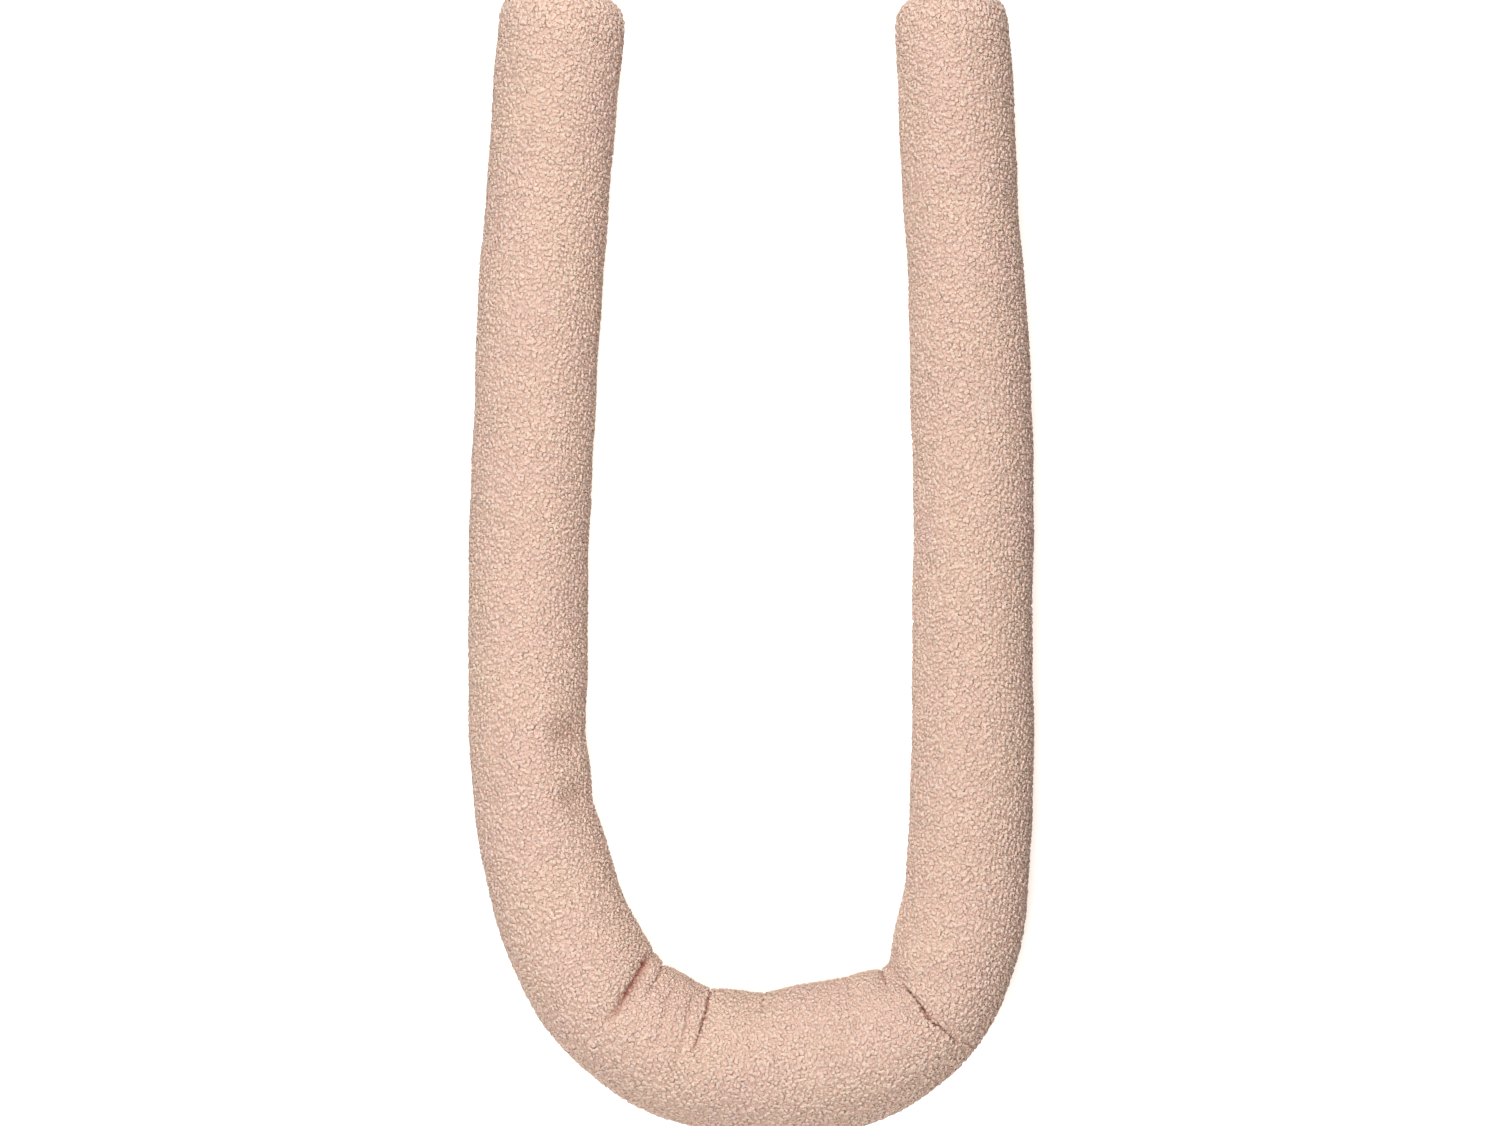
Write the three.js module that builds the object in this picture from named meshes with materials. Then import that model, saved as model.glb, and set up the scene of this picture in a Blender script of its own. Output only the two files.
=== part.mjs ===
// A long bolster cushion: one stuffed tube of looped cloth with closed, rounded
// ends, laid flat in a U that opens towards +Y. Millimetres, +Z up.
//
// The tube starts as a straight lathe form of radius 1. Each of its rings is
// then set across a route on the floor, given its width and height there, and
// cut level where the cushion rests. Last, folds are pressed into the inside of
// the bend.
//
// The origin is the middle of the box around the cushion, on the floor.

import * as THREE from "three";
import { mergeVertices } from "three/addons/utils/BufferGeometryUtils.js";

// Driving dimensions.
const CUSHION_HEIGHT = 98;
const SINK = 6; // how far the round section is pressed flat underneath
const END_LENGTH = 36; // the stretch over which an end closes
const END_SQUARENESS = 3; // 2 is a plain ellipse, more is a squarer end

// Fineness of the mesh: sides round the tube, rings along each end, and the
// distance between rings on the straight legs and in the creased bend.
const SIDES = 30;
const END_RINGS = 7;
const LEG_STEP = 30;
const BEND_STEP = 6;

// The middle line seen from above, from the left end round to the right end,
// with the width of the cushion at each point. The bend is widest between its
// two kinks, where the inside bulges, and narrowest at the right kink.
const ROUTE = [
  { x: -166, y: 507, wide: 113 },
  { x: -175, y: 395, wide: 114 },
  { x: -184, y: 285, wide: 112 },
  { x: -190, y: 180, wide: 112 },
  { x: -195, y: 75, wide: 111 },
  { x: -198, y: -32, wide: 108 },
  { x: -198, y: -112, wide: 107 },
  { x: -195, y: -185, wide: 109 },
  { x: -185, y: -251, wide: 114 },
  { x: -165, y: -319, wide: 115 },
  { x: -130, y: -380, wide: 121 },
  { x: -75, y: -426, wide: 125 },
  { x: -6, y: -442, wide: 129 },
  { x: 50, y: -440, wide: 137 },
  { x: 100, y: -428, wide: 133 },
  { x: 132, y: -413, wide: 121 },
  { x: 159, y: -389, wide: 111 },
  { x: 174, y: -357, wide: 114 },
  { x: 184, y: -324, wide: 116 },
  { x: 191, y: -285, wide: 112 },
  { x: 195, y: -200, wide: 110 },
  { x: 196, y: -40, wide: 110 },
  { x: 196, y: 101, wide: 110 },
  { x: 192, y: 208, wide: 108 },
  { x: 186, y: 314, wide: 105 },
  { x: 180, y: 430, wide: 103 },
  { x: 176, y: 505, wide: 102 },
];

// The part of the route, in distance from the left end, that has close rings.
const BEND = { from: 790, to: 1330 };

// Folds, seen from above. Each starts at the inside of the bend, runs over the
// top and dies out there. deep is how far it presses the cloth in, or for a
// negative number how far a ridge stands out, wide is half its width, and rim
// is the share of its depth that it keeps at its start and down the inner side.
const FOLDS = [
  { name: "left deep fold", x: -86, y: -343, toX: -136, toY: -409, deep: 9, wide: 7, rim: 0.2 },
  { name: "left kink", x: -74, y: -356, toX: -94, toY: -380, deep: 6, wide: 6, rim: 0.6 },
  { name: "ridge after the kink", x: -56, y: -366, toX: -84, toY: -412, deep: -3, wide: 8, rim: 0.3 },
  { name: "slit", x: -34, y: -375, toX: -55, toY: -432, deep: 7, wide: 6, rim: 0.3 },
  { name: "pucker", x: 11, y: -378, toX: 8, toY: -394, deep: 3, wide: 6, rim: 0.6 },
  { name: "soft trough", x: 76, y: -366, toX: 88, toY: -444, deep: 3, wide: 12, rim: 0.3 },
  { name: "short fold", x: 112, y: -356, toX: 122, toY: -378, deep: 5, wide: 6, rim: 0.4 },
  { name: "right kink", x: 124, y: -350, toX: 136, toY: -376, deep: 6, wide: 7, rim: 0.5 },
  { name: "right long fold", x: 130, y: -364, toX: 186, toY: -427, deep: 6, wide: 7, rim: 0.3 },
  { name: "upper dent", x: -147, y: -142, toX: -164, toY: -166, deep: 3, wide: 12, rim: 1 },
  { name: "lower dent", x: -140, y: -206, toX: -158, toY: -220, deep: 3, wide: 12, rim: 1 },
];

const FOLD_LEAD = 15; // how far a fold reaches past its start, down the inner side
const FOLD_RISE = 14; // how soon after its start a fold has its whole depth
const FOLD_FADE_HEIGHT = 34; // folds fade out below this height on the sides

const cloth = new THREE.MeshStandardMaterial({
  name: "looped cloth",
  color: "#dfbfab",
  roughness: 0.95,
  metalness: 0,
});

const route = new THREE.CatmullRomCurve3(
  ROUTE.map(({ x, y }) => new THREE.Vector3(x, y, 0)),
  false,
  "centripetal",
);
route.arcLengthDivisions = 2000;
const ROUTE_LENGTH = route.getLength();

// Distances from the left end at which a ring stands between the two ends.
function ringDistances() {
  const distances = [];
  let distance = END_LENGTH;
  while (distance < ROUTE_LENGTH - END_LENGTH) {
    distances.push(distance);
    const inBend = distance >= BEND.from && distance < BEND.to;
    distance += inBend ? BEND_STEP : LEG_STEP;
  }
  distances.push(ROUTE_LENGTH - END_LENGTH);
  return distances;
}

// Half the outline of the straight tube, as radius (x) against distance (y).
function straightProfile() {
  const power = 2 / END_SQUARENESS;
  const end = [];
  for (let ring = 0; ring < END_RINGS; ring++) {
    const angle = (ring / END_RINGS) * (Math.PI / 2);
    const radius = Math.sin(angle) ** power;
    end.push(new THREE.Vector2(radius, END_LENGTH * (1 - Math.cos(angle) ** power)));
  }
  const middle = ringDistances().map((distance) => new THREE.Vector2(1, distance));
  const farEnd = end.map(({ x, y }) => new THREE.Vector2(x, ROUTE_LENGTH - y)).reverse();
  return [...end, ...middle, ...farEnd];
}

// The place, direction and width of the route at a distance from the left end.
function stationAt(distance) {
  const t = route.getUtoTmapping(Math.min(distance / ROUTE_LENGTH, 1));
  const row = Math.min(Math.floor(t * (ROUTE.length - 1)), ROUTE.length - 2);
  const share = t * (ROUTE.length - 1) - row;
  const blend = THREE.MathUtils.smoothstep(share, 0, 1);
  return {
    place: route.getPoint(t),
    along: route.getTangent(t),
    wide: THREE.MathUtils.lerp(ROUTE[row].wide, ROUTE[row + 1].wide, blend),
  };
}

// How far a fold presses the cloth in at a point, seen from above.
function foldDepth(fold, point) {
  const start = new THREE.Vector2(fold.x, fold.y);
  const line = new THREE.Vector2(fold.toX, fold.toY).sub(start);
  const reach = line.length();
  const offset = new THREE.Vector2(point.x, point.y).sub(start);
  const run = offset.dot(line) / reach;
  const aside = Math.abs(offset.cross(line)) / reach;
  const fadeIn = THREE.MathUtils.smoothstep(run, -2 * FOLD_LEAD, -FOLD_LEAD);
  const rise = THREE.MathUtils.lerp(fold.rim, 1, THREE.MathUtils.smoothstep(run, 0, FOLD_RISE));
  const fadeOut = 1 - THREE.MathUtils.smoothstep(run, FOLD_RISE, reach);
  return fold.deep * fadeIn * rise * fadeOut * Math.exp(-((aside / fold.wide) ** 2));
}

// Takes a point of the straight tube to its place on the route.
function layOut(point, station, axisHeight) {
  const across = new THREE.Vector3(station.along.y, -station.along.x, 0);
  const halfHeight = CUSHION_HEIGHT - axisHeight;
  const laid = station.place.clone().addScaledVector(across, (point.x * station.wide) / 2);
  laid.z = Math.max(axisHeight + point.z * halfHeight, 0);
  return laid;
}

// Presses the folds into a laid point, towards the middle of the tube.
function pressFolds(laid, station, axisHeight) {
  const depth = FOLDS.reduce((sum, fold) => sum + foldDepth(fold, laid), 0);
  const upHere = THREE.MathUtils.smoothstep(laid.z, 0, FOLD_FADE_HEIGHT);
  const middle = station.place.clone().setZ(axisHeight);
  const inwards = middle.sub(laid).normalize();
  return laid.addScaledVector(inwards, depth * upHere);
}

function cushionGeometry() {
  const geometry = new THREE.LatheGeometry(straightProfile(), SIDES);
  const axisHeight = (CUSHION_HEIGHT - SINK) / 2;
  const positions = geometry.attributes.position;
  const point = new THREE.Vector3();
  for (let i = 0; i < positions.count; i++) {
    point.fromBufferAttribute(positions, i);
    const station = stationAt(point.y);
    const laid = pressFolds(layOut(point, station, axisHeight), station, axisHeight);
    positions.setXYZ(i, laid.x, laid.y, laid.z);
  }
  geometry.deleteAttribute("normal");
  geometry.deleteAttribute("uv");
  const closed = mergeVertices(geometry);
  closed.computeBoundingBox();
  const middle = closed.boundingBox.getCenter(new THREE.Vector3());
  closed.translate(-middle.x, -middle.y, 0);
  closed.computeVertexNormals();
  return closed;
}

const cushion = new THREE.Mesh(cushionGeometry(), cloth);
cushion.name = "bolster_cushion";

const part = new THREE.Group();
part.name = "bolster";
part.add(cushion);

export default part;
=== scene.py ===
# %% [markdown]
# # A long bolster cushion in looped cloth
# The real thing is one long tube of soft boucle cloth, stuffed until it is round,
# closed at both ends and laid down in a U. Boucle is woven or knitted from yarn with
# small loops in it, so its face is a field of pebbly curls.
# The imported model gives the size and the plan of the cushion. This script makes
# what the eye sees: the stuffed skin with its folds, and the curls that cover it.

# %% Open the frame
import math
from collections import namedtuple

import bmesh
import bpy
import numpy as np
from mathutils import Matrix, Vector
from mathutils.bvhtree import BVHTree


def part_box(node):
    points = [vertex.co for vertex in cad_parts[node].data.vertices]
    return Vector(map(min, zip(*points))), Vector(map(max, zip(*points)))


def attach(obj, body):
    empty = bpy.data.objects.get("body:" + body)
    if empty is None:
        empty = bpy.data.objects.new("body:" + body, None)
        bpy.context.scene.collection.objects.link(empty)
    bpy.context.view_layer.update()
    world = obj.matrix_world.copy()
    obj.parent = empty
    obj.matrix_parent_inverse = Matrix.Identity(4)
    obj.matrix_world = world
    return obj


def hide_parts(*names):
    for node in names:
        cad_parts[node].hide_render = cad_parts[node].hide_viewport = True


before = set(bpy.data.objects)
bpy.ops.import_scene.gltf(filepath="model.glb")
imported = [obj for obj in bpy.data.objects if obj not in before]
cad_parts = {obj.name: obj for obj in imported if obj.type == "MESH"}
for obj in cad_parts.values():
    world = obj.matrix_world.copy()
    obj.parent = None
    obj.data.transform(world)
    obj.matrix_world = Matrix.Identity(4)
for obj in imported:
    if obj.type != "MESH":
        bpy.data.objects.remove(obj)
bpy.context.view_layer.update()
scene = bpy.context.scene
MM = 0.001
CUSHION = "bolster_cushion"
low, high = (np.array(corner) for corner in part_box(CUSHION))
print("cushion measures", ((high - low) / MM).round(), "mm")

# %% [markdown]
# ## The camera
# The photograph looks straight down on the cushion, so the camera does too. A long
# lens keeps the perspective weak, as in the photograph. Its height follows from the
# lens and from the real width of the picture, so no number has to be tried out.

# %% Camera
PHOTO_WIDTH = 1500
PIXEL = 0.886 * MM
PHOTO_MIDDLE = (-0.9 * MM, 0.9 * MM)
LENS = 85.0
SENSOR = 36.0
WIDEST = 46 * MM

camera_data = bpy.data.cameras.new("camera")
camera_data.lens = LENS
camera_data.sensor_width = SENSOR
camera = bpy.data.objects.new("camera", camera_data)
scene.collection.objects.link(camera)
camera.location = (*PHOTO_MIDDLE, WIDEST + PHOTO_WIDTH * PIXEL * LENS / SENSOR)
scene.camera = camera
print("camera stands", round(camera.location.z, 3), "m above the floor")

# %% [markdown]
# ## Floor and light
# The cushion lies on a white ground that glows a little, as a light table does, and so
# stays white right up to the cloth. A faint even sky fills the shade. A big soft lamp
# stands beyond the bend and leaves the right side of each leg in shade, and a second
# one stands beyond the open end, to light the inside of the bend.

# %% Floor, sky and lamps
FLOOR_SIZE = 16.0
SKY_STRENGTH = 0.16
SKY_COLOUR = (1.0, 0.88, 0.80, 1)
LAMP_COLOUR = (0.99, 1.0, 1.0)
Lamp = namedtuple("Lamp", "name place size power")
LAMPS = [
    Lamp("lamp over the bend", (-0.36, -0.72, 2.1), 0.9, 43.5),
    Lamp("lamp behind the ends", (-0.12, 2.0, 1.85), 1.2, 61.0),
]

scene.view_settings.view_transform = "Standard"

sky = bpy.data.worlds.new("sky")
sky.use_nodes = True
background = sky.node_tree.nodes["Background"]
background.inputs["Color"].default_value = SKY_COLOUR
background.inputs["Strength"].default_value = SKY_STRENGTH
scene.world = sky

for lamp in LAMPS:
    light = bpy.data.lights.new(lamp.name, "AREA")
    light.shape = "DISK"
    light.size = lamp.size
    light.energy = lamp.power
    light.color = LAMP_COLOUR
    holder = bpy.data.objects.new(lamp.name, light)
    holder.location = lamp.place
    holder.rotation_euler = Vector(lamp.place).to_track_quat("Z", "Y").to_euler()
    scene.collection.objects.link(holder)

floor_shape = bmesh.new()
bmesh.ops.create_grid(floor_shape, x_segments=1, y_segments=1, size=FLOOR_SIZE / 2)
floor_mesh = bpy.data.meshes.new("floor")
floor_shape.to_mesh(floor_mesh)
floor_shape.free()
floor = bpy.data.objects.new("floor", floor_mesh)
scene.collection.objects.link(floor)
print("lamps:", [(lamp.name, lamp.power) for lamp in LAMPS])

# %% [markdown]
# ## A helper for shader maths
# A material is a graph of nodes. Written node by node it is long and hard to follow,
# so this small class wraps one socket: arithmetic on it adds Math nodes, and `add`
# makes any other node from its type, its settings and its sockets.

# %% Shader wires


class Wire:
    """A socket in a material's node tree, which Python arithmetic can work on."""

    def __init__(self, tree, socket=None):
        self.tree = tree
        self.socket = socket

    def add(self, kind, settings, sockets, out=0):
        node = self.tree.nodes.new(kind)
        for name, value in settings.items():
            setattr(node, name, value)
        for key, value in sockets.items():
            if isinstance(value, Wire):
                self.tree.links.new(value.socket, node.inputs[key])
            else:
                node.inputs[key].default_value = value
        return Wire(self.tree, node.outputs[out])

    def maths(self, operation, *values):
        return self.add("ShaderNodeMath", {"operation": operation}, dict(enumerate(values)))

    def __add__(self, other):
        return self.maths("ADD", self, other)

    __radd__ = __add__

    def __sub__(self, other):
        return self.maths("SUBTRACT", self, other)

    def __rsub__(self, other):
        return self.maths("SUBTRACT", other, self)

    def __mul__(self, other):
        return self.maths("MULTIPLY", self, other)

    __rmul__ = __mul__

    def mix(self, factor, first, second):
        """The first colour, and the second one where factor is 1."""
        sockets = {0: factor, 6: first, 7: second}
        return self.add("ShaderNodeMix", {"data_type": "RGBA"}, sockets, out=2)


def new_material(name):
    """A material, its wire maker and its shader's inputs."""
    material = bpy.data.materials.new(name)
    material.use_nodes = True
    tree = material.node_tree
    return material, Wire(tree), tree.nodes["Principled BSDF"].inputs


def plug(wire, socket):
    wire.tree.links.new(wire.socket, socket)


# %% [markdown]
# ## The ground
# A white sheet alone would turn grey beside the cushion, where the cushion keeps light
# away from it. A lit panel stays white there. So the ground is pale and matt, and gives
# off an even, slightly warm glow that lifts it to white.

# %% White ground
GROUND_COLOUR = (0.62, 0.60, 0.58, 1)
GLOW_COLOUR = (1.0, 0.92, 0.87, 1)
GLOW = 0.72

floor_material, _, floor_inputs = new_material("white ground")
floor_inputs["Base Color"].default_value = GROUND_COLOUR
floor_inputs["Roughness"].default_value = 0.9
floor_inputs["Specular IOR Level"].default_value = 0.1
floor_inputs["Emission Color"].default_value = GLOW_COLOUR
floor_inputs["Emission Strength"].default_value = GLOW
floor.data.materials.append(floor_material)
print("floor is", floor_material.name)

# %% [markdown]
# ## The looped cloth's colour
# Blush pink yarn takes dye a little unevenly: some patches are pinker and some are more of a
# cream. Light and shade are painted in as well: the loops' tips get a painted highlight, their
# roots and the ground between them painted shade, the yarn's relief a fine painted shade, and
# deep in a fold a reddish brown shade is painted. All of it is worked out from the place on the
# cushion and from numbers that the mesh carries, so it follows the cloth.

# %% Cloth materials
PINK = (0.695, 0.51, 0.445, 1)
CREAM = (0.705, 0.55, 0.435, 1)
# The third colour is the painted shade at a loop's root, the fourth the painted highlight at
# its tip, and the fifth the reddish shade painted deep in a fold.
ROOT_SHADE = (0.64, 0.42, 0.335, 1)
TIP_HIGHLIGHT = (0.73, 0.57, 0.49, 1)
FOLD_SHADE = (0.34, 0.10, 0.07, 1)
PATCH_PER_M = 14.0
PATCH_CONTRAST = 2.2
RELIEF_SHADE = 1.0
MEAN_RELIEF = 0.75
YARN_PER_M = 700.0
FIBRE_PER_M = 1500.0
FIBRE_SHARE = 0.3


def cloth_colour(wire, place, tip, tone):
    """Colour of the cloth: a tip of 0 is a loop's root in painted shade, 1 its body and 2 its
    tip with a painted highlight.
    """
    patches = wire.add(
        "ShaderNodeTexNoise",
        {},
        {"Vector": place, "Scale": PATCH_PER_M, "Detail": 4.0, "Roughness": 0.6},
    )
    yarn = wire.mix((patches - 0.5) * PATCH_CONTRAST + tone, CREAM, PINK)
    yarn = wire.mix(tip, ROOT_SHADE, yarn)
    yarn = wire.mix(tip - 1.0, yarn, TIP_HIGHLIGHT)
    # Deep in a fold a reddish shade is painted over the yarn.
    fold = wire.add("ShaderNodeAttribute", {"attribute_name": "fold"}, {}, out="Fac")
    return wire.mix(fold, yarn, FOLD_SHADE)


def finish_cloth(inputs, colour, bump):
    plug(colour, inputs["Base Color"])
    plug(bump, inputs["Normal"])
    inputs["Roughness"].default_value = 0.92
    inputs["Specular IOR Level"].default_value = 0.1
    inputs["Sheen Weight"].default_value = 0.04
    inputs["Sheen Roughness"].default_value = 0.5
    inputs["Sheen Tint"].default_value = (1.0, 0.9, 0.85, 1)


def yarn_relief(wire, place):
    """Height of the wound yarn: rounded strands, with fine fibres on them."""
    strands = wire.add(
        "ShaderNodeTexVoronoi", {"feature": "SMOOTH_F1"}, {"Vector": place, "Scale": YARN_PER_M}
    )
    fibres = wire.add(
        "ShaderNodeTexNoise", {}, {"Vector": place, "Scale": FIBRE_PER_M, "Detail": 2.0}
    )
    return 1.0 - strands + fibres * FIBRE_SHARE


def cloth_material(name, tip, tone, relief_height):
    """The looped cloth; a tip or a tone can be a number or the name of an attribute."""
    material, wire, inputs = new_material(name)
    place = wire.add("ShaderNodeTexCoord", {}, {}, out="Object")
    relief = yarn_relief(wire, place)
    bump = wire.add(
        "ShaderNodeBump", {}, {"Height": relief, "Strength": 1.0, "Distance": relief_height}
    )
    tip, tone = (
        wire.add("ShaderNodeAttribute", {"attribute_name": value}, {}, out="Fac")
        if isinstance(value, str) else value
        for value in (tip, tone)
    )
    # Painted shade: the yarn's relief darkens the colour in its hollows, on top of the loops'
    # painted shade and highlight.
    shade = (relief - MEAN_RELIEF) * RELIEF_SHADE + tip
    finish_cloth(inputs, cloth_colour(wire, place, shade, tone), bump)
    return material


# The ground between the curls is painted part way to the root colour, as shade between the
# loops.
ground = cloth_material("boucle ground", tip=0.35, tone=0.5, relief_height=2 * MM)
loops = cloth_material("boucle loops", tip="tip", tone="tone", relief_height=1 * MM)
print("cloth materials:", ground.name, "and", loops.name)

# %% [markdown]
# ## The middle line of the tube
# Everything on this cushion is easiest to place by its distance along the tube and
# its angle round it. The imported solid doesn't say where its middle runs, so the script
# walks down it like a finger in a sleeve: it feels for both walls, moves midway
# between them, and takes a step on.

# %% Feel for the walls
AXIS_HEIGHT = WIDEST
STEP = 8 * MM
SOFTEN_STEPS = 2
END_LENGTH = 36 * MM


def solid_tree():
    """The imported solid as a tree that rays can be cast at."""
    solid = bmesh.new()
    solid.from_mesh(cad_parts[CUSHION].data)
    bmesh.ops.remove_doubles(solid, verts=solid.verts, dist=0.01 * MM)
    tree = BVHTree.FromBMesh(solid)
    solid.free()
    return tree


walls = solid_tree()


def wall_distance(start, direction):
    return walls.ray_cast(Vector(start), Vector(direction))[3]


def soften(rows, spread):
    """A running average down the first axis, which keeps both ends in place."""
    reach = math.ceil(3 * spread)
    weights = np.exp(-0.5 * (np.arange(-reach, reach + 1) / spread) ** 2)
    before = 2 * rows[:1] - rows[reach:0:-1]
    after = 2 * rows[-1:] - rows[-2:-2 - reach:-1]
    longer = np.concatenate([before, rows, after])
    parts = [longer[i:i + len(rows)] * weight for i, weight in enumerate(weights)]
    return np.sum(parts, axis=0) / weights.sum()


# %% Walk down the middle


def walk_middle():
    """Points in plan down the middle of the tube, from the left end to the right one."""
    turning_back = high[1] - END_LENGTH
    outside = (low[0] - STEP, turning_back, AXIS_HEIGHT)
    wall = outside[0] + wall_distance(outside, (1, 0, 0)) + 0.1 * MM
    width = wall_distance((wall, turning_back, AXIS_HEIGHT), (1, 0, 0))
    place = np.array([wall + width / 2, turning_back])
    heading = np.array([0.0, -1.0])
    found = []
    while len(found) < 3 or place[1] < turning_back:
        inner = np.array([-heading[1], heading[0]])
        to_inner = wall_distance((*place, AXIS_HEIGHT), (*inner, 0))
        to_outer = wall_distance((*place, AXIS_HEIGHT), (*-inner, 0))
        place = place + inner * (to_inner - to_outer) / 2
        found.append(place)
        if len(found) > 3:
            heading = (place - found[-3]) / np.linalg.norm(place - found[-3])
        place = place + heading * STEP
    return soften(np.array(found), SOFTEN_STEPS)


def reach_ends(line):
    """The line, lengthened straight on to the tips of both ends."""
    tips = []
    for end, inner in ((line[0], line[3]), (line[-1], line[-4])):
        outwards = (end - inner) / np.linalg.norm(end - inner)
        tips.append(end + outwards * wall_distance((*end, AXIS_HEIGHT), (*outwards, 0)))
    return np.concatenate([tips[:1], line, tips[1:]])


class MiddleLine:
    """The middle line in plan, read by the distance along it."""

    def __init__(self, points):
        steps = np.linalg.norm(np.diff(points, axis=0), axis=1)
        self.marks = np.concatenate([[0], np.cumsum(steps)])
        self.points = points
        self.length = self.marks[-1]

    def place(self, along):
        axes = [np.interp(along, self.marks, axis) for axis in self.points.T]
        return np.stack([*axes, np.full_like(axes[0], AXIS_HEIGHT)], -1)

    def inner(self, along):
        """Unit vectors in plan towards the inside of the U."""
        ahead = self.place(np.minimum(along + STEP, self.length))
        heading = ahead - self.place(np.maximum(along - STEP, 0))
        heading /= np.linalg.norm(heading, axis=-1, keepdims=True)
        return np.stack([-heading[..., 1], heading[..., 0], np.zeros_like(heading[..., 0])], -1)

    def outwards(self, along, turn):
        """Unit vectors from the line to the skin; a turn counts from the underside."""
        angle = (np.asarray(turn)[..., None] - 0.25) * math.tau
        return self.inner(along) * np.cos(angle) + np.array([0, 0, 1]) * np.sin(angle)


middle = MiddleLine(reach_ends(walk_middle()))
print("middle line is", round(middle.length, 3), "m long")

# %% [markdown]
# ## The tube before it is stuffed
# The skin is kept as a table: one row for each ring of the tube, one column for each
# side, and in each place a point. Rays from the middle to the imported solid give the
# rings of the long body. Both ends close like a superellipse, blunt but soft.

# %% Rings of the tube
RING_STEP = 6 * MM
SIDES = 60
END_RINGS = 7
END_SQUARENESS = 3.0
SMOOTH_RINGS = 2.0
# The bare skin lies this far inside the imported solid, which leaves room for the curls,
# and comes out to it again near the floor. Whatever is lower than the flat height
# belongs to the level strip, which hovers by the floor gap.
START_INSET = 2.2 * MM
FLOOR_GAP = 0.3 * MM
FLAT_HEIGHT = 0.6 * MM
INSET_HEIGHT = 4 * FLAT_HEIGHT

body_length = middle.length - 2 * END_LENGTH
body_marks = END_LENGTH + np.linspace(0, body_length, round(body_length / RING_STEP) + 1)
end_angle = np.linspace(0, math.pi / 2, END_RINGS + 1)[:-1]
end_size = np.sin(end_angle) ** (2 / END_SQUARENESS)
end_depth = END_LENGTH * (1 - np.cos(end_angle) ** (2 / END_SQUARENESS))
ring_along = np.concatenate([end_depth, body_marks, middle.length - end_depth[::-1]])
ring_size = np.concatenate([end_size, np.ones(len(body_marks)), end_size[::-1]])
LAST_RING = len(ring_along) - 1


def smooth_step(value, start, end):
    share = ((value - start) / (end - start)).clip(0, 1)
    return share * share * (3 - 2 * share)


def measure_reach():
    """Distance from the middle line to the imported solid, by ring and side."""
    turns = np.arange(SIDES) / SIDES
    reach = np.empty((len(body_marks), SIDES))
    for row, mark in enumerate(body_marks):
        start = middle.place(mark)
        directions = middle.outwards(np.full(SIDES, mark), turns)
        reach[row] = [wall_distance(start, direction) for direction in directions]
    return soften(reach, SMOOTH_RINGS)


def lay_rings(reach):
    """The table of points of the tube as it lies on the floor."""
    row = np.searchsorted(body_marks, ring_along).clip(0, len(body_marks) - 1)
    along = np.repeat(ring_along[:, None], SIDES, 1)
    turn = np.repeat(np.arange(SIDES)[None] / SIDES, len(ring_along), 0)
    outwards = middle.outwards(along, turn)
    rings = middle.place(along) + outwards * (reach[row] * ring_size[:, None])[..., None]
    inset = START_INSET * smooth_step(rings[..., 2], 0, INSET_HEIGHT) * ring_size[:, None]
    rings -= outwards * inset[..., None]
    rings[..., 2] = np.where(rings[..., 2] < FLAT_HEIGHT, FLOOR_GAP, rings[..., 2])
    return rings


reach = measure_reach()
laid_rings = lay_rings(reach)
print(len(laid_rings), "rings, radius", (reach.min() / MM).round(1), "to",
      (reach.max() / MM).round(1), "mm")

# %% [markdown]
# ## A carrier for the table
# The mesh itself comes from Blender's spin: an upright line turned round an axis makes
# a closed tube in one step, with its faces in order. Here the height of a point in the
# spun tube is its ring's number and its angle is its side, so a table of points can
# be poured into it.

# %% Spin a tube


def read_points(mesh):
    flat = np.empty(len(mesh.vertices) * 3, np.float32)
    mesh.vertices.foreach_get("co", flat)
    return flat.reshape(-1, 3).astype(float)


def spin_tube(name, ring_numbers, sides):
    """A closed spun tube, with each vertex's ring number and its turn round the tube."""
    tube = bmesh.new()
    line = [tube.verts.new((1, number, 0)) for number in ring_numbers]
    line[0].co.x = 0
    line[-1].co.x = 0
    edges = [tube.edges.new(pair) for pair in zip(line, line[1:])]
    bmesh.ops.spin(tube, geom=line + edges, cent=(0, 0, 0), axis=(0, 1, 0),
                   angle=math.tau, steps=sides, use_merge=True)
    bmesh.ops.remove_doubles(tube, verts=tube.verts, dist=0.0001)
    bmesh.ops.recalc_face_normals(tube, faces=tube.faces)
    mesh = bpy.data.meshes.new(name)
    tube.to_mesh(mesh)
    tube.free()
    mesh.shade_smooth()
    points = read_points(mesh)
    turn = (np.arctan2(-points[:, 2], points[:, 0]) / math.tau + 0.25) % 1.0
    pole = np.hypot(points[:, 2], points[:, 0]) < 0.5
    piece = bpy.data.objects.new(name, mesh)
    scene.collection.objects.link(piece)
    return piece, points[:, 1], turn, pole


# %% [markdown]
# ## Stuffing it
# Blender's cloth with pressure inside does what stuffing does: it rounds the tube,
# pulls it taut and evens it out. The strip on the floor is pinned, because there the
# cushion's weight holds it flat. The movement is capped, so that the cushion keeps
# its size.

# %% Cloth with pressure
PRESSURE = 4.0
FRAMES = 20
MOST_MOVED = 3 * MM


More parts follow.
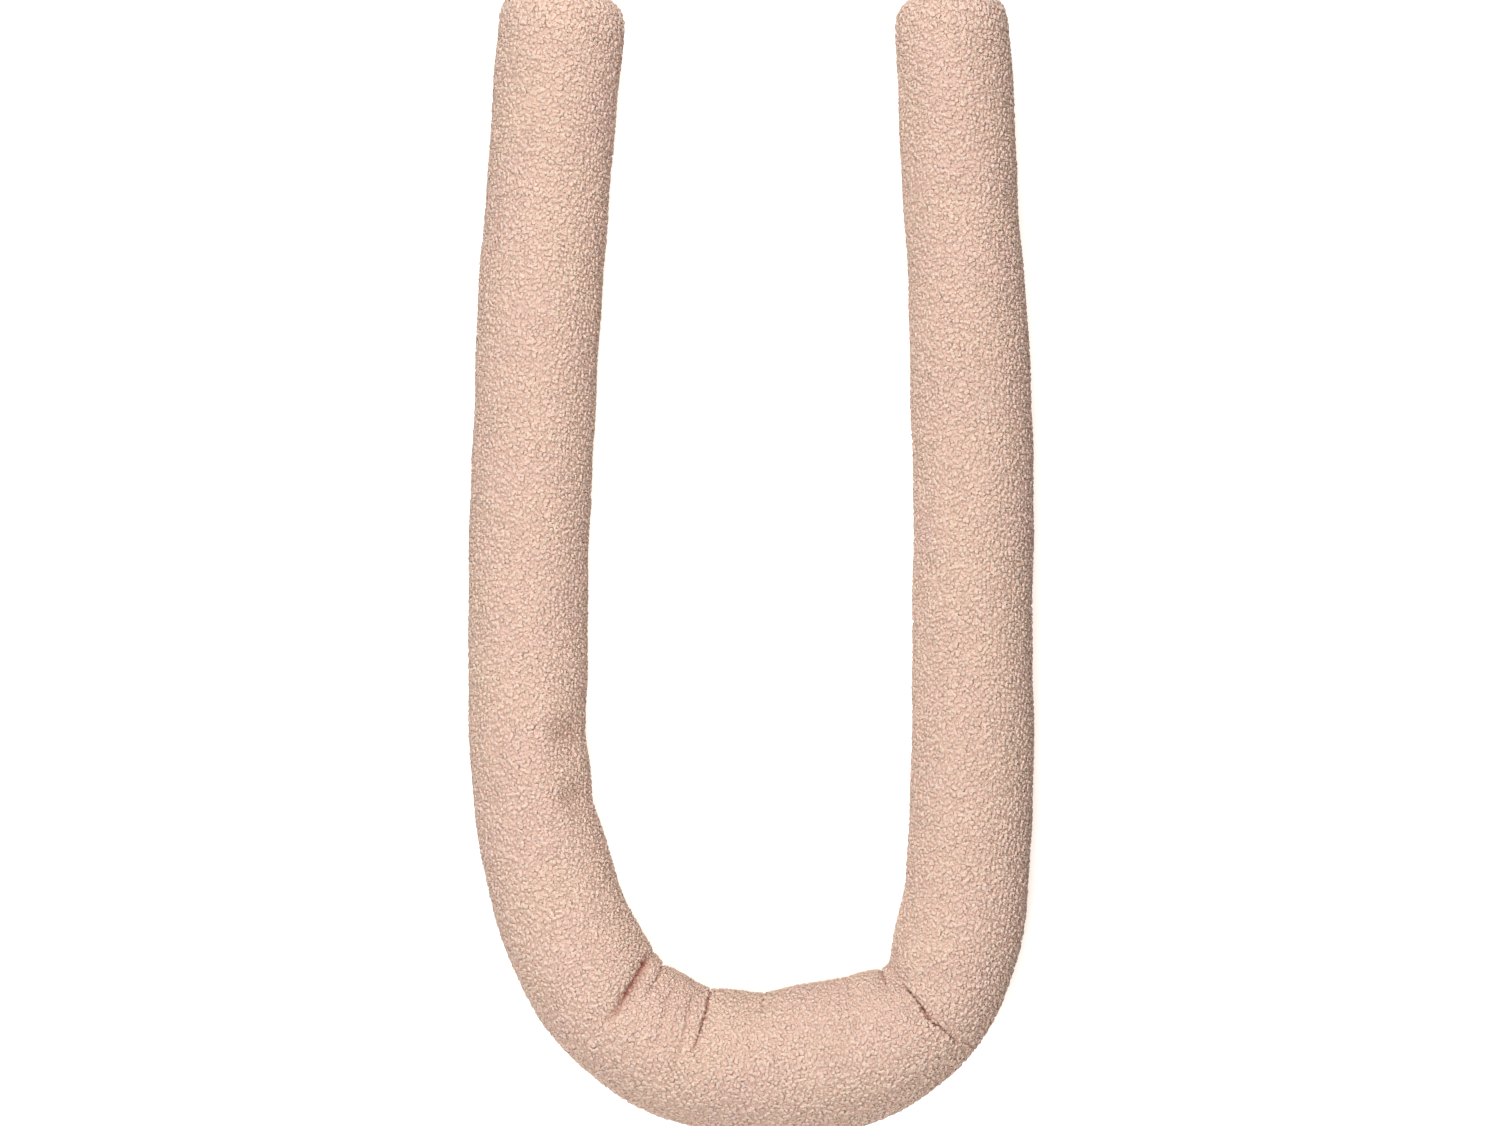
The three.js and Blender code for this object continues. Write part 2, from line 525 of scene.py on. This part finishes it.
def stuff(rings):
    """The table of points after the tube has been swelled as cloth."""
    tube, ring, turn, _ = spin_tube("stuffing_tube", np.arange(LAST_RING + 1), SIDES)
    row = np.rint(ring).astype(int)
    side = np.rint(turn * SIDES).astype(int) % SIDES
    start = rings[row, side]
    tube.data.vertices.foreach_set("co", start.ravel())
    held = tube.vertex_groups.new(name="held")
    held.add(np.flatnonzero(start[:, 2] < FLAT_HEIGHT).tolist(), 1.0, "REPLACE")
    cloth = tube.modifiers.new("cloth", "CLOTH")
    settings = cloth.settings
    settings.vertex_group_mass = "held"
    settings.use_pressure = True
    settings.uniform_pressure_force = PRESSURE
    settings.effector_weights.gravity = 0
    cloth.collision_settings.use_collision = False
    for number in range(1, FRAMES + 1):
        scene.frame_set(number)
    shaped = tube.evaluated_get(bpy.context.evaluated_depsgraph_get())
    moved = read_points(shaped.data) - start
    scene.frame_set(1)
    distance = np.linalg.norm(moved, axis=1, keepdims=True)
    print("cloth moved", (distance.mean() / MM).round(2), "mm, at most",
          (distance.max() / MM).round(2), "mm")
    moved *= np.minimum(1, MOST_MOVED / np.maximum(distance, 0.001 * MM))
    stuffed = rings.copy()
    stuffed[row, side] = start + moved
    for end in (0, LAST_RING):
        stuffed[end] = (start + moved)[row == end][0]
    bpy.data.objects.remove(tube)
    return stuffed


stuffed_rings = stuff(laid_rings)

# %% [markdown]
# ## Reading the stuffed skin anywhere
# The rings are a coarse table of the skin. A smooth curve through four neighbours
# each way gives any point between them, so the fine mesh and every curl can be set on
# the same skin.

# %% Skin between the rings


def curve_weights(share):
    """Catmull-Rom weights of four neighbours, for a share of the way."""
    return np.stack([
        -0.5 * share + share**2 - 0.5 * share**3,
        1 - 2.5 * share**2 + 1.5 * share**3,
        0.5 * share + 2 * share**2 - 1.5 * share**3,
        -0.5 * share**2 + 0.5 * share**3,
    ], -1)


def bare_skin(ring, turn):
    """Points of the stuffed skin, before its folds are pressed in."""
    side = turn * SIDES
    first_row = np.floor(ring).astype(int)
    first_side = np.floor(side).astype(int)
    row_weights = curve_weights(ring - first_row)
    side_weights = curve_weights(side - first_side)
    found = np.zeros((len(ring), 3))
    for i in range(4):
        rows = (first_row + i - 1).clip(0, LAST_RING)
        for j in range(4):
            weight = row_weights[:, i] * side_weights[:, j]
            found += stuffed_rings[rows, (first_side + j - 1) % SIDES] * weight[:, None]
    return found


def along_at(ring):
    return np.interp(ring, np.arange(LAST_RING + 1), ring_along)


ring_gaps = np.linalg.norm(np.diff(stuffed_rings, axis=0), axis=-1).mean(1)
ring_track = np.concatenate([[0], np.cumsum(ring_gaps)])
ring_girth = np.linalg.norm(stuffed_rings - np.roll(stuffed_rings, 1, 1), axis=-1).sum(1)
print("cloth is", ring_track[-1].round(3), "m long and",
      ring_girth.max().round(3), "m round")

# %% [markdown]
# ## The folds
# Where the tube bends, spare cloth folds into the inside of the bend. Each main fold is listed:
# a line seen from above, a soft trough along it, and in the sharper ones a narrow slit where
# two banks of pile meet. The banks stand a little proud beside the slit, because the cloth is
# pushed up there.

# %% Folds
# Lengths are in mm. A wide and a deep belong to the trough, a slit and a cut to its narrow
# slit. The share at the rim is what is left of the fold at the inner edge, and the last number
# is how dark a reddish shade is painted along its slit. A dent has no cut: its slit is only a
# broad, soft painted shade.
Fold = namedtuple("Fold", "name line wide deep slit cut rim red")
FOLDS = [
    Fold("left deep fold", [(-85, -340), (-103, -367), (-118, -391), (-138, -410)],
         9, 3.2, 3.1, 3.2, 0.1, 0.8),
    Fold("left kink", [(-74, -350), (-83, -365), (-94, -380)], 7, 2.4, 1.3, 1.6, 1.0, 0.5),
    Fold("fan fold", [(-66, -366), (-77, -399), (-90, -440)], 6, 1.7, 1.8, 0.8, 0.2, 0.15),
    Fold("slit", [(-35, -373), (-40, -396), (-47, -415), (-58, -438)],
         6, 2.2, 1.1, 3.4, 0.5, 0.95),
    Fold("beside the slit", [(-51, -376), (-57, -405), (-66, -436), (-76, -470)],
         7, 2.0, 1.8, 0.9, 0.1, 0.25),
    Fold("between the fan folds", [(-60, -378), (-67, -404), (-77, -436)],
         6, 0.8, 1.5, 0.5, 0.1, 0.1),
    Fold("pucker", [(12, -376), (10, -388), (8, -398)], 5, 0.8, 0.9, 1.4, 0.5, 0.5),
    Fold("soft trough", [(84, -366), (91, -408), (97, -440)], 8, 2.8, 1.5, 0.6, 0.3, 0.1),
    Fold("short fold", [(113, -355), (117, -368), (121, -375)], 6, 2.2, 1.3, 2.4, 0.5, 0.7),
    Fold("right kink", [(122, -350), (128, -360), (140, -372)], 8, 2.4, 1.3, 0.8, 0.6, 0.15),
    Fold("right long fold",
         [(130, -364), (147, -384), (157, -399), (170, -408), (192, -432)],
         8, 2.8, 1.3, 3.2, 0.2, 0.9),
    Fold("above the right fold", [(146, -350), (168, -372), (182, -384)],
         12, 1.8, 1.0, 0.0, 0.1, 0.0),
    Fold("upper dent", [(-146, -142), (-184, -158)], 15, 5.0, 13.0, 0.0, 0.0, 0.17),
    Fold("lower dent", [(-140, -198), (-176, -213)], 14, 4.4, 12.0, 0.0, 0.0, 0.14),
]
RIM_RISE = 12 * MM
RIM_LEAD = 18 * MM
FADE_FROM = 0.45
FOLD_HEIGHT = 30 * MM
WAVER = 0.25
WAVER_LENGTHS = (2.3 * MM, 5.1 * MM)
# The banks beside a slit: their share of its depth, and their place and spread,
# counted in widths of the slit.
BANK_SHARE = 0.25
BANK_PLACE = 2.6
BANK_SPREAD = 1.6


def beside_line(plan, line):
    """For each point, its distance from a line, its run along it, and the line's length."""
    aside = np.full(len(plan), np.inf)
    run = np.zeros(len(plan))
    passed = 0.0
    for number, (a, b) in enumerate(zip(line, line[1:])):
        length = np.linalg.norm(b - a)
        heading = (b - a) / length
        share = ((plan - a) @ heading).clip(0 if number else -2 * RIM_LEAD, length)
        distance = np.linalg.norm(plan - a - share[:, None] * heading, axis=1)
        run = np.where(distance < aside, passed + share, run)
        aside = np.minimum(distance, aside)
        passed += length
    return aside, run, passed


def press_fold(points, fold):
    """How far one fold presses each point in, and how much shade it paints on it."""
    aside, run, length = beside_line(points[:, :2], np.array(fold.line) * MM)
    strength = fold.rim + (1 - fold.rim) * smooth_step(run, 0, RIM_RISE)
    strength *= smooth_step(run, -2 * RIM_LEAD, -RIM_LEAD)
    strength *= 1 - smooth_step(run, length * FADE_FROM, length)
    strength *= smooth_step(points[:, 2], 0, FOLD_HEIGHT)
    short, long = (run / wave_length for wave_length in WAVER_LENGTHS)
    waver = 1 + WAVER * np.sin(short) * np.sin(long + fold.wide)
    slit_width = fold.slit * MM
    trough = np.exp(-((aside / (fold.wide * MM)) ** 2))
    slit = np.exp(-((aside / slit_width) ** 2)) * waver
    bank = np.exp(-(((aside / slit_width - BANK_PLACE) / BANK_SPREAD) ** 2))
    depth = fold.deep * trough + fold.cut * (slit - BANK_SHARE * bank)
    return depth * MM * strength, fold.red * slit * strength


# %% The finished skin
LUMP_HEIGHT = 0.5 * MM


def lumps(along, turn):
    """The slight unevenness of loose filling: waves that never quite line up."""
    angle = turn * math.tau
    waves = np.sin(along / (31 * MM) + 1.3 * np.sin(angle + 0.7))
    waves += np.sin(along / (47 * MM) + 2.1 + 1.7 * np.cos(angle))
    waves += 0.6 * np.sin(along / (13 * MM) + 3 * angle)
    body = smooth_step(along, 0, END_LENGTH) * smooth_step(middle.length - along, 0, END_LENGTH)
    return LUMP_HEIGHT * waves * body


def dressed_skin(ring, turn):
    """Points of the finished skin, and the shade that the folds paint there."""
    points = bare_skin(ring, turn)
    along = along_at(ring)
    inwards = middle.place(along) - points
    inwards /= np.linalg.norm(inwards, axis=1, keepdims=True).clip(0.01 * MM)
    depth = -lumps(along, turn) * smooth_step(points[:, 2], 0, FOLD_HEIGHT)
    dark = np.zeros(len(points))
    for fold in FOLDS:
        pressed, darkened = press_fold(points, fold)
        depth += pressed
        dark = np.maximum(dark, darkened)
    points += inwards * depth[:, None]
    points[:, 2] = points[:, 2].clip(FLOOR_GAP)
    return points, dark.clip(0, 1)


# %% [markdown]
# ## The fine cover
# The cover is the same spun tube with many more rings, closest together where the
# folds are. Its map is the cloth unrolled and cut into three strips, so that a picture
# made from it has the same scale all over.

# %% Cover
COVER_SIDES = 96
END_STEP = 0.5
STRIPS = 3
STRIP_MARGIN = 0.02
# Each zone of the cover, by its end along the tube and the spacing of its rings.
ZONES = [(760, 5.0), (840, 2.6), (1240, 1.35), (1320, 2.6), (2060, 5.0)]


def cover_rings():
    """Ring numbers of the fine cover, counted in the rings of the table."""
    numbers = [np.arange(0, END_RINGS, END_STEP)]
    start = END_LENGTH
    for end, spacing in ZONES:
        end = min(end * MM, middle.length - END_LENGTH)
        count = round((end - start) / (spacing * MM))
        marks = np.linspace(start, end, count, endpoint=False)
        numbers.append(np.interp(marks, ring_along, np.arange(LAST_RING + 1)))
        start = end
    numbers.append(np.arange(LAST_RING - END_RINGS, LAST_RING + END_STEP, END_STEP))
    return np.concatenate(numbers)


def unroll(track, turn, strip):
    """Map coordinates of the unrolled cloth, cut into strips one above another."""
    length = ring_track[-1] / STRIPS
    keep = 1 - 2 * STRIP_MARGIN
    across = STRIP_MARGIN + keep * (track / length - strip)
    return np.stack([across, (strip + STRIP_MARGIN + keep * turn) / STRIPS], -1)


def strip_of(track):
    return np.floor(track / ring_track[-1] * STRIPS).clip(0, STRIPS - 1)


def add_map(mesh, coordinates):
    """Gives the mesh its map, under the name OFBake."""
    layer = mesh.uv_layers.new(name="OFBake")
    layer.uv.foreach_set("vector", coordinates.astype(np.float32).ravel())


def add_numbers(mesh, name, values):
    store = mesh.attributes.new(name, "FLOAT", "POINT")
    store.data.foreach_set("value", values.astype(np.float32))


def map_cover(mesh, ring, turn, pole):
    """Lays the unrolled map on the spun tube; its seam is on the underside."""
    corner = np.empty(len(mesh.loops), np.int32)
    mesh.loops.foreach_get("vertex_index", corner)
    first = np.empty(len(mesh.polygons), np.int32)
    mesh.polygons.foreach_get("loop_start", first)
    face = np.searchsorted(first, np.arange(len(corner)), side="right") - 1
    corner_turn = np.where(pole[corner], np.nan, turn[corner])
    most = np.fmax.reduceat(corner_turn, first)[face]
    corner_turn = np.where(most - corner_turn > 0.5, corner_turn + 1, corner_turn)
    least = np.fmin.reduceat(corner_turn, first)[face]
    most = np.fmax.reduceat(corner_turn, first)[face]
    corner_turn = np.where(np.isnan(corner_turn), (least + most) / 2, corner_turn)
    track = np.interp(ring[corner], np.arange(LAST_RING + 1), ring_track)
    nearest = np.minimum.reduceat(track, first)[face]
    add_map(mesh, unroll(track, corner_turn, strip_of(nearest)))


def make_cover():
    cover, ring, turn, pole = spin_tube("boucle_cover", cover_rings(), COVER_SIDES)
    points, dark = dressed_skin(ring, turn)
    cover.data.vertices.foreach_set("co", points.ravel())
    add_numbers(cover.data, "fold", dark)
    map_cover(cover.data, ring, turn, pole)
    cover.data.materials.append(ground)
    cover.data.update()
    return cover


cover = make_cover()
print("cover has", len(cover.data.polygons), "faces")

# %% [markdown]
# ## One curl
# From above a curled loop of boucle looks like a small rosette: a round nub with a
# dimple in it. A line of three points, spun round and closed underneath, gives that
# with only 18 triangles, so it can be set down tens of thousands of times. Four kinds,
# bent a little by chance, keep the field from looking stamped.

# %% Make the curls
CURL_RADIUS = 2.25 * MM
CURL_HEIGHT = 1.65 * MM
# Distance from the middle and height of the dimple, the rim and the foot of a curl.
PROFILE = [(0, 0.2), (0.52, 0.85), (1.0, -0.2)]
CURL_SIDES = 5
# Spread of the bends by chance, and the slope of the whole curl to one side.
CURL_BEND = 0.09
CURL_SLOPE = 0.22
# Where a curl lies in its cell of the map: its face is in the middle, its foot aside.
FACE_SIZE = 0.36
FOOT_PLACE = 0.44
FOOT_SIZE = 0.03
KINDS = 4
SEED = 7
rng = np.random.default_rng(SEED)


def make_curl():
    """Points of one curl, its triangles, and their map coordinates in a unit cell."""
    curl = bmesh.new()
    line = [curl.verts.new((radius, 0, height)) for radius, height in PROFILE]
    edges = [curl.edges.new(pair) for pair in zip(line, line[1:])]
    bmesh.ops.spin(curl, geom=line + edges, cent=(0, 0, 0), axis=(0, 0, 1),
                   angle=math.tau, steps=CURL_SIDES, use_merge=True)
    bmesh.ops.remove_doubles(curl, verts=curl.verts, dist=0.0001)
    rim = [edge for edge in curl.edges if edge.is_boundary]
    foot = bmesh.ops.contextual_create(curl, geom=rim)["faces"]
    below = set(bmesh.ops.triangulate(curl, faces=foot)["faces"])
    bmesh.ops.triangulate(curl, faces=[face for face in curl.faces if len(face.verts) > 3])
    bmesh.ops.recalc_face_normals(curl, faces=curl.faces)
    points = np.array([vertex.co for vertex in curl.verts])
    triangles = np.array([[vertex.index for vertex in face.verts] for face in curl.faces])
    under = np.array([face in below for face in curl.faces])
    curl.free()
    flat = points[triangles][..., :2]
    cells = np.where(under[:, None, None], FOOT_PLACE + FOOT_SIZE * flat, FACE_SIZE * flat)
    bent = points + rng.normal(0, CURL_BEND, points.shape)
    bent[:, 2] += CURL_SLOPE * points[:, 0]
    return bent * (CURL_RADIUS, CURL_RADIUS, CURL_HEIGHT), triangles, cells


curls = [make_curl() for _ in range(KINDS)]
print("one curl has", len(curls[0][0]), "points and", len(curls[0][1]), "triangles")

# %% [markdown]
# ## Setting the curls
# The unrolled cloth is divided into small cells, with one curl somewhere in each, and
# every curl is turned, tilted and sized by chance. So they are as close as real loops
# but never in line. On the outside of the bend the cloth is stretched and its curls
# are large, and on the inside they are small and close. There are none on the flat
# underside, where the pile is pressed, nor at the bottom of a slit.

# %% Sites of the curls
PITCH = 3.6 * MM
PROBE = 0.5 * MM
# How far a curl may stray from the middle of its cell, along the cloth and round it.
STRAY_ALONG = 0.48
STRAY_ROUND = 0.42
# No curl stands where the painted fold shade is deeper than this.
DEEPEST_FOLD_SHADE = 0.6
FACING_DOWN = -0.8
PRESSED_HEIGHT = 1.2 * MM


def curl_cells():
    """Place along the cloth, turn, and width as a share of a turn, for every cell."""
    found = []
    for track in np.arange(PITCH / 2, ring_track[-1], PITCH):
        ring = np.interp(track, ring_track, np.arange(LAST_RING + 1))
        girth = np.interp(ring, np.arange(LAST_RING + 1), ring_girth)
        count = max(round(girth / PITCH), 3)
        turn = (np.arange(count) + 0.5) / count
        found.append(np.stack([np.full(count, track), turn, np.full(count, 1 / count)], -1))
    return np.concatenate(found)


def surface_frame(ring, turn):
    """Points of the skin, its two directions and normal, its stretch and its painted fold
    shade.
    """
    ring_step = PROBE / RING_STEP
    turn_step = PROBE / ring_girth.max()
    points, dark = dressed_skin(ring, turn)
    ahead = dressed_skin((ring + ring_step).clip(0, LAST_RING), turn)[0]
    behind = dressed_skin((ring - ring_step).clip(0, LAST_RING), turn)[0]
    left = dressed_skin(ring, (turn + turn_step) % 1)[0]
    right = dressed_skin(ring, (turn - turn_step) % 1)[0]
    forward = ahead - behind
    stretch = np.linalg.norm(forward, axis=1) / (2 * PROBE)
    forward /= np.linalg.norm(forward, axis=1, keepdims=True).clip(1e-9)
    normal = np.cross(forward, left - right)
    normal /= np.linalg.norm(normal, axis=1, keepdims=True).clip(1e-12)
    outwards = points - middle.place(along_at(ring))
    normal *= np.sign((normal * outwards).sum(1, keepdims=True))
    return points, forward, np.cross(normal, forward), normal, stretch, dark


cells = curl_cells()
site_track = cells[:, 0] + rng.uniform(-STRAY_ALONG, STRAY_ALONG, len(cells)) * PITCH
site_turn = cells[:, 1] + rng.uniform(-STRAY_ROUND, STRAY_ROUND, len(cells)) * cells[:, 2]
site_turn = site_turn % 1
site_ring = np.interp(site_track, ring_track, np.arange(LAST_RING + 1))
sites = surface_frame(site_ring, site_turn)
lying = (sites[0][:, 2] < PRESSED_HEIGHT) & (sites[3][:, 2] < FACING_DOWN)
kept = ~lying & (sites[5] < DEEPEST_FOLD_SHADE)
print("sites for curls:", len(cells), "of which", kept.sum(), "carry one")

# %% Plant the curls
PIECES = 5
TILT = 0.26
SIZES = (0.8, 1.28)
STRETCHES = (0.65, 1.25)
# Curls in a fold are pressed smaller, and take on this share of its painted shade.
PRESSED_SMALLER = 0.4
SHARE_OF_FOLD_SHADE = 0.9
# Heights above the skin of the root, the body and the tip of a curl, which set its painted
# shade and highlight.
HEIGHTS = (0.1 * MM, 1.0 * MM, 2.2 * MM)


def turned(count):
    """Rotation matrices: any turn in the cloth's plane, and a limited tilt."""
    spin = rng.uniform(0, math.tau, count)
    tilt = rng.normal(0, TILT, count)
    lean = rng.uniform(0, math.tau, count)
    zero, one = np.zeros(count), np.ones(count)
    c, s = np.cos(spin), np.sin(spin)
    flat = np.stack([c, -s, zero, s, c, zero, zero, zero, one], -1).reshape(-1, 3, 3)
    x, y = np.cos(lean), np.sin(lean)
    axis = np.stack([x, y, zero], -1)
    cross = np.stack([zero, zero, y, zero, zero, -x, -y, x, zero], -1).reshape(-1, 3, 3)
    c, s = np.cos(tilt)[:, None, None], np.sin(tilt)[:, None, None]
    leaning = c * np.eye(3) + s * cross + (1 - c) * axis[:, :, None] * axis[:, None, :]
    return leaning @ flat


def plant(name, chosen):
    """One piece that holds the chosen curls."""
    number = len(chosen)
    kind = rng.integers(0, len(curls), number)
    shapes, triangles, cell = (np.stack(part)[kind] for part in zip(*curls))
    place, forward, around, normal, stretch, dark = (part[chosen] for part in sites)
    size = rng.uniform(*SIZES, number) * (1 - PRESSED_SMALLER * dark)
    local = np.einsum("nij,npj->npi", turned(number), shapes) * size[:, None, None]
    local[..., 0] *= stretch.clip(*STRETCHES)[:, None]
    axes = np.stack([forward, around, normal], 1)
    points = place[:, None] + np.einsum("npj,njk->npk", local, axes)
    points[..., 2] = points[..., 2].clip(FLOOR_GAP)
    per_curl = shapes.shape[1]
    corners = (triangles + np.arange(number)[:, None, None] * per_curl).reshape(-1)
    mesh = bpy.data.meshes.new(name)
    mesh.vertices.add(number * per_curl)
    mesh.vertices.foreach_set("co", points.ravel())
    mesh.loops.add(len(corners))
    mesh.loops.foreach_set("vertex_index", corners.astype(np.int32))
    mesh.polygons.add(len(corners) // 3)
    mesh.polygons.foreach_set("loop_start", np.arange(0, len(corners), 3, dtype=np.int32))
    mesh.update()
    mesh.shade_smooth()
    add_numbers(mesh, "tip", np.interp(local[..., 2], HEIGHTS, (0, 1, 2)).ravel())
    add_numbers(mesh, "tone", np.repeat(rng.uniform(0, 1, number), per_curl))
    add_numbers(mesh, "fold", np.repeat(dark * SHARE_OF_FOLD_SHADE, per_curl))
    track = cells[chosen, 0][:, None, None] + PITCH * cell[..., 0]
    turn = cells[chosen, 1][:, None, None] + cells[chosen, 2][:, None, None] * cell[..., 1]
    strip = strip_of(cells[chosen, 0])[:, None, None]
    add_map(mesh, unroll(track, turn, strip).reshape(-1, 2))
    mesh.materials.append(loops)
    piece = bpy.data.objects.new(name, mesh)
    scene.collection.objects.link(piece)
    return piece


planted = [
    plant(f"boucle_curls_{number + 1}", chosen)
    for number, chosen in enumerate(np.array_split(np.flatnonzero(kept), PIECES))
]
print("triangles in each piece of curls:", [len(piece.data.polygons) for piece in planted])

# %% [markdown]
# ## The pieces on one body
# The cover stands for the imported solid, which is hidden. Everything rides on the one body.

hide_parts(CUSHION)
for piece in [cover, *planted]:
    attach(piece, "root")
